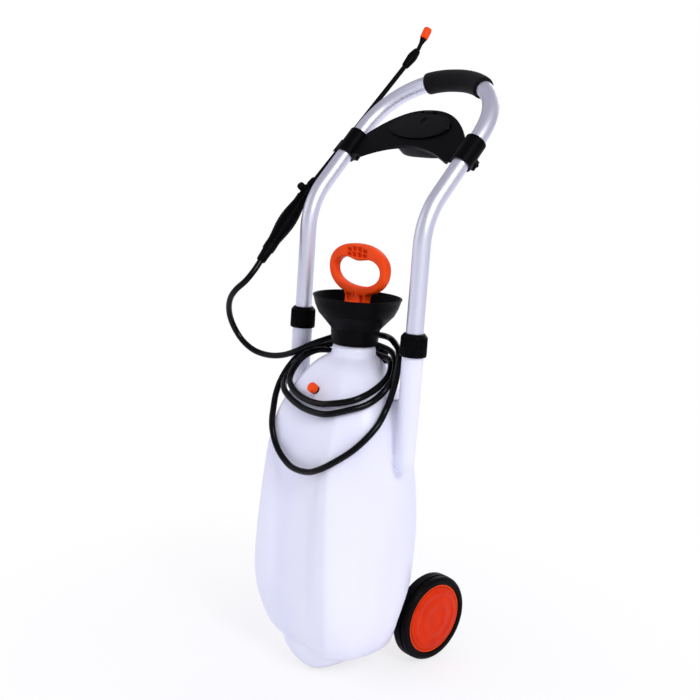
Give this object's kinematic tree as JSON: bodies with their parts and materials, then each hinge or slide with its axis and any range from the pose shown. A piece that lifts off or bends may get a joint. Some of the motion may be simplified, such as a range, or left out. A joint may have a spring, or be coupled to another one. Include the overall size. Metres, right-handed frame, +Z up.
{
  "type": "wheeled sprayer cart",
  "caption": "Upright wheeled pressure sprayer: translucent tank with front foot, rear wheels, bent tube handle with tray, pump in a filling funnel, coiled hose, trigger grip and lance.",
  "frame": {"origin": "on the floor under the pump's axis, on the flat bottom of the tank's front foot", "axes": "+Z up along the pump, +X to the right along the wheel axle, -Y to the front with the relief valve"},
  "size_m": [0.3538, 0.3856, 0.9997],
  "materials": {
    "milky_plastic": "translucent natural polyethylene, blow-moulded satin skin",
    "satin_aluminium": "satin anodised tube",
    "soft_grip": "matt black foamed sleeve",
    "black_plastic": "injection-moulded black polypropylene, fine satin",
    "natural_nylon": "undyed nylon",
    "dark_steel": "blackened steel screw",
    "gloss_black": "smooth black lid",
    "steel": "bright drawn wire",
    "rubber": "moulded nitrile seal",
    "grey_plastic": "grey polypropylene barrel",
    "zinc_steel": "zinc-plated steel",
    "white_plastic": "white acetal",
    "orange_plastic": "red-orange moulded plastic, satin gloss",
    "orange_gloss": "red-orange hub cap, gloss",
    "brass": "turned brass",
    "tyre_rubber": "black tread",
    "black_tube": "black coated lance tube",
    "hose_black": "smooth black hose, soft sheen"
  },
  "bodies": {
    "cart": {"tank": "milky_plastic", "funnel": "black_plastic", "neck_gasket": "rubber", "relief_body": "black_plastic", "relief_spring": "steel", "outlet_gasket": "rubber", "outlet_elbow": "black_plastic", "outlet_nut": "black_plastic", "dip_tube": "milky_plastic", "dip_filter": "orange_plastic", "axle": "zinc_steel", "spacer_left": "white_plastic", "spacer_right": "white_plastic", "push_nut_left": "zinc_steel", "push_nut_right": "zinc_steel", "wedge_ring_left": "natural_nylon", "wedge_ring_right": "natural_nylon", "hose_coil": "hose_black", "hose_lead": "hose_black"},
    "handle": {"handle_tube": "satin_aluminium", "grip_sleeve": "soft_grip", "tray": "black_plastic", "tray_bin": "black_plastic", "clamp_screw_left": "dark_steel", "clamp_screw_right": "dark_steel", "lid_pin": "steel", "lance_clip": "black_plastic", "hose_nut": "black_plastic", "grip_body": "black_plastic", "trigger_pin": "steel", "valve_cap": "black_plastic", "lance_nut": "black_plastic", "lance_tube": "black_tube", "knuckle": "black_plastic", "nozzle_stem": "black_plastic"},
    "nut_left": {"collar_nut_left": "black_plastic"},
    "nut_right": {"collar_nut_right": "black_plastic"},
    "pump_body": {"pump_barrel": "grey_plastic", "pump_guide": "black_plastic", "inlet_valve": "rubber"},
    "pump": {"pump_rod": "zinc_steel", "pump_piston": "white_plastic", "piston_seal": "rubber", "pump_handle": "orange_plastic", "handle_pin": "zinc_steel"},
    "wheel_left": {"tyre_left": "tyre_rubber", "hub_left": "orange_plastic", "wheel_cap_left": "orange_gloss"},
    "wheel_right": {"tyre_right": "tyre_rubber", "hub_right": "orange_plastic", "wheel_cap_right": "orange_gloss"},
    "relief": {"relief_stem": "brass", "relief_seal": "rubber", "relief_knob": "orange_plastic"},
    "trigger": {"trigger_lever": "black_plastic"},
    "lid": {"tray_lid": "gloss_black"},
    "nozzle": {"nozzle_cap": "orange_plastic"}
  },
  "joints": [
    {"name": "handle_slide", "type": "slide", "parent": "cart", "child": "handle", "axis": [0, 0, 1], "range_m": [-0.055, 0], "deforming": ["hose_lead"]},
    {"name": "nut_left_turn", "type": "hinge", "parent": "cart", "child": "nut_left", "pos_m": [-0.1211, 0, 0.529], "axis": [0, 0, 1], "range_deg": [0, 180]},
    {"name": "nut_right_turn", "type": "hinge", "parent": "cart", "child": "nut_right", "pos_m": [0.1211, 0, 0.529], "axis": [0, 0, 1], "range_deg": [0, 180]},
    {"name": "pump_turn", "type": "hinge", "parent": "cart", "child": "pump_body", "pos_m": [0, 0, 0.54], "axis": [0, 0, 1], "range_deg": [0, 360]},
    {"name": "pump_slide", "type": "slide", "parent": "pump_body", "child": "pump", "axis": [0, 0, 1], "range_m": [0, 0.2]},
    {"name": "wheel_left_spin", "type": "hinge", "parent": "cart", "child": "wheel_left", "pos_m": [0, 0.128, 0.069], "axis": [1, 0, 0], "continuous": true},
    {"name": "wheel_right_spin", "type": "hinge", "parent": "cart", "child": "wheel_right", "pos_m": [0, 0.128, 0.069], "axis": [1, 0, 0], "continuous": true},
    {"name": "relief_pull", "type": "slide", "parent": "cart", "child": "relief", "axis": [0, -0.829, 0.5592], "range_m": [0, 0.003], "stiffness_N_per_m": 900, "springref_m": -0.003, "deforming": ["relief_spring"]},
    {"name": "trigger_squeeze", "type": "hinge", "parent": "handle", "child": "trigger", "pos_m": [-0.155, 0.03084, 0.71384], "axis": [-1, 0, 0], "range_deg": [0, 14], "stiffness_Nm_per_rad": 0.3, "springref_deg": -11.46},
    {"name": "lid_swing", "type": "hinge", "parent": "handle", "child": "lid", "pos_m": [0, 0.12077, 0.85386], "axis": [-1, 0, 0], "range_deg": [0, 110]},
    {"name": "nozzle_turn", "type": "hinge", "parent": "handle", "child": "nozzle", "pos_m": [-0.155, 0.24609, 0.96048], "axis": [0, 0.5, 0.866], "range_deg": [0, 270]}
  ]
}
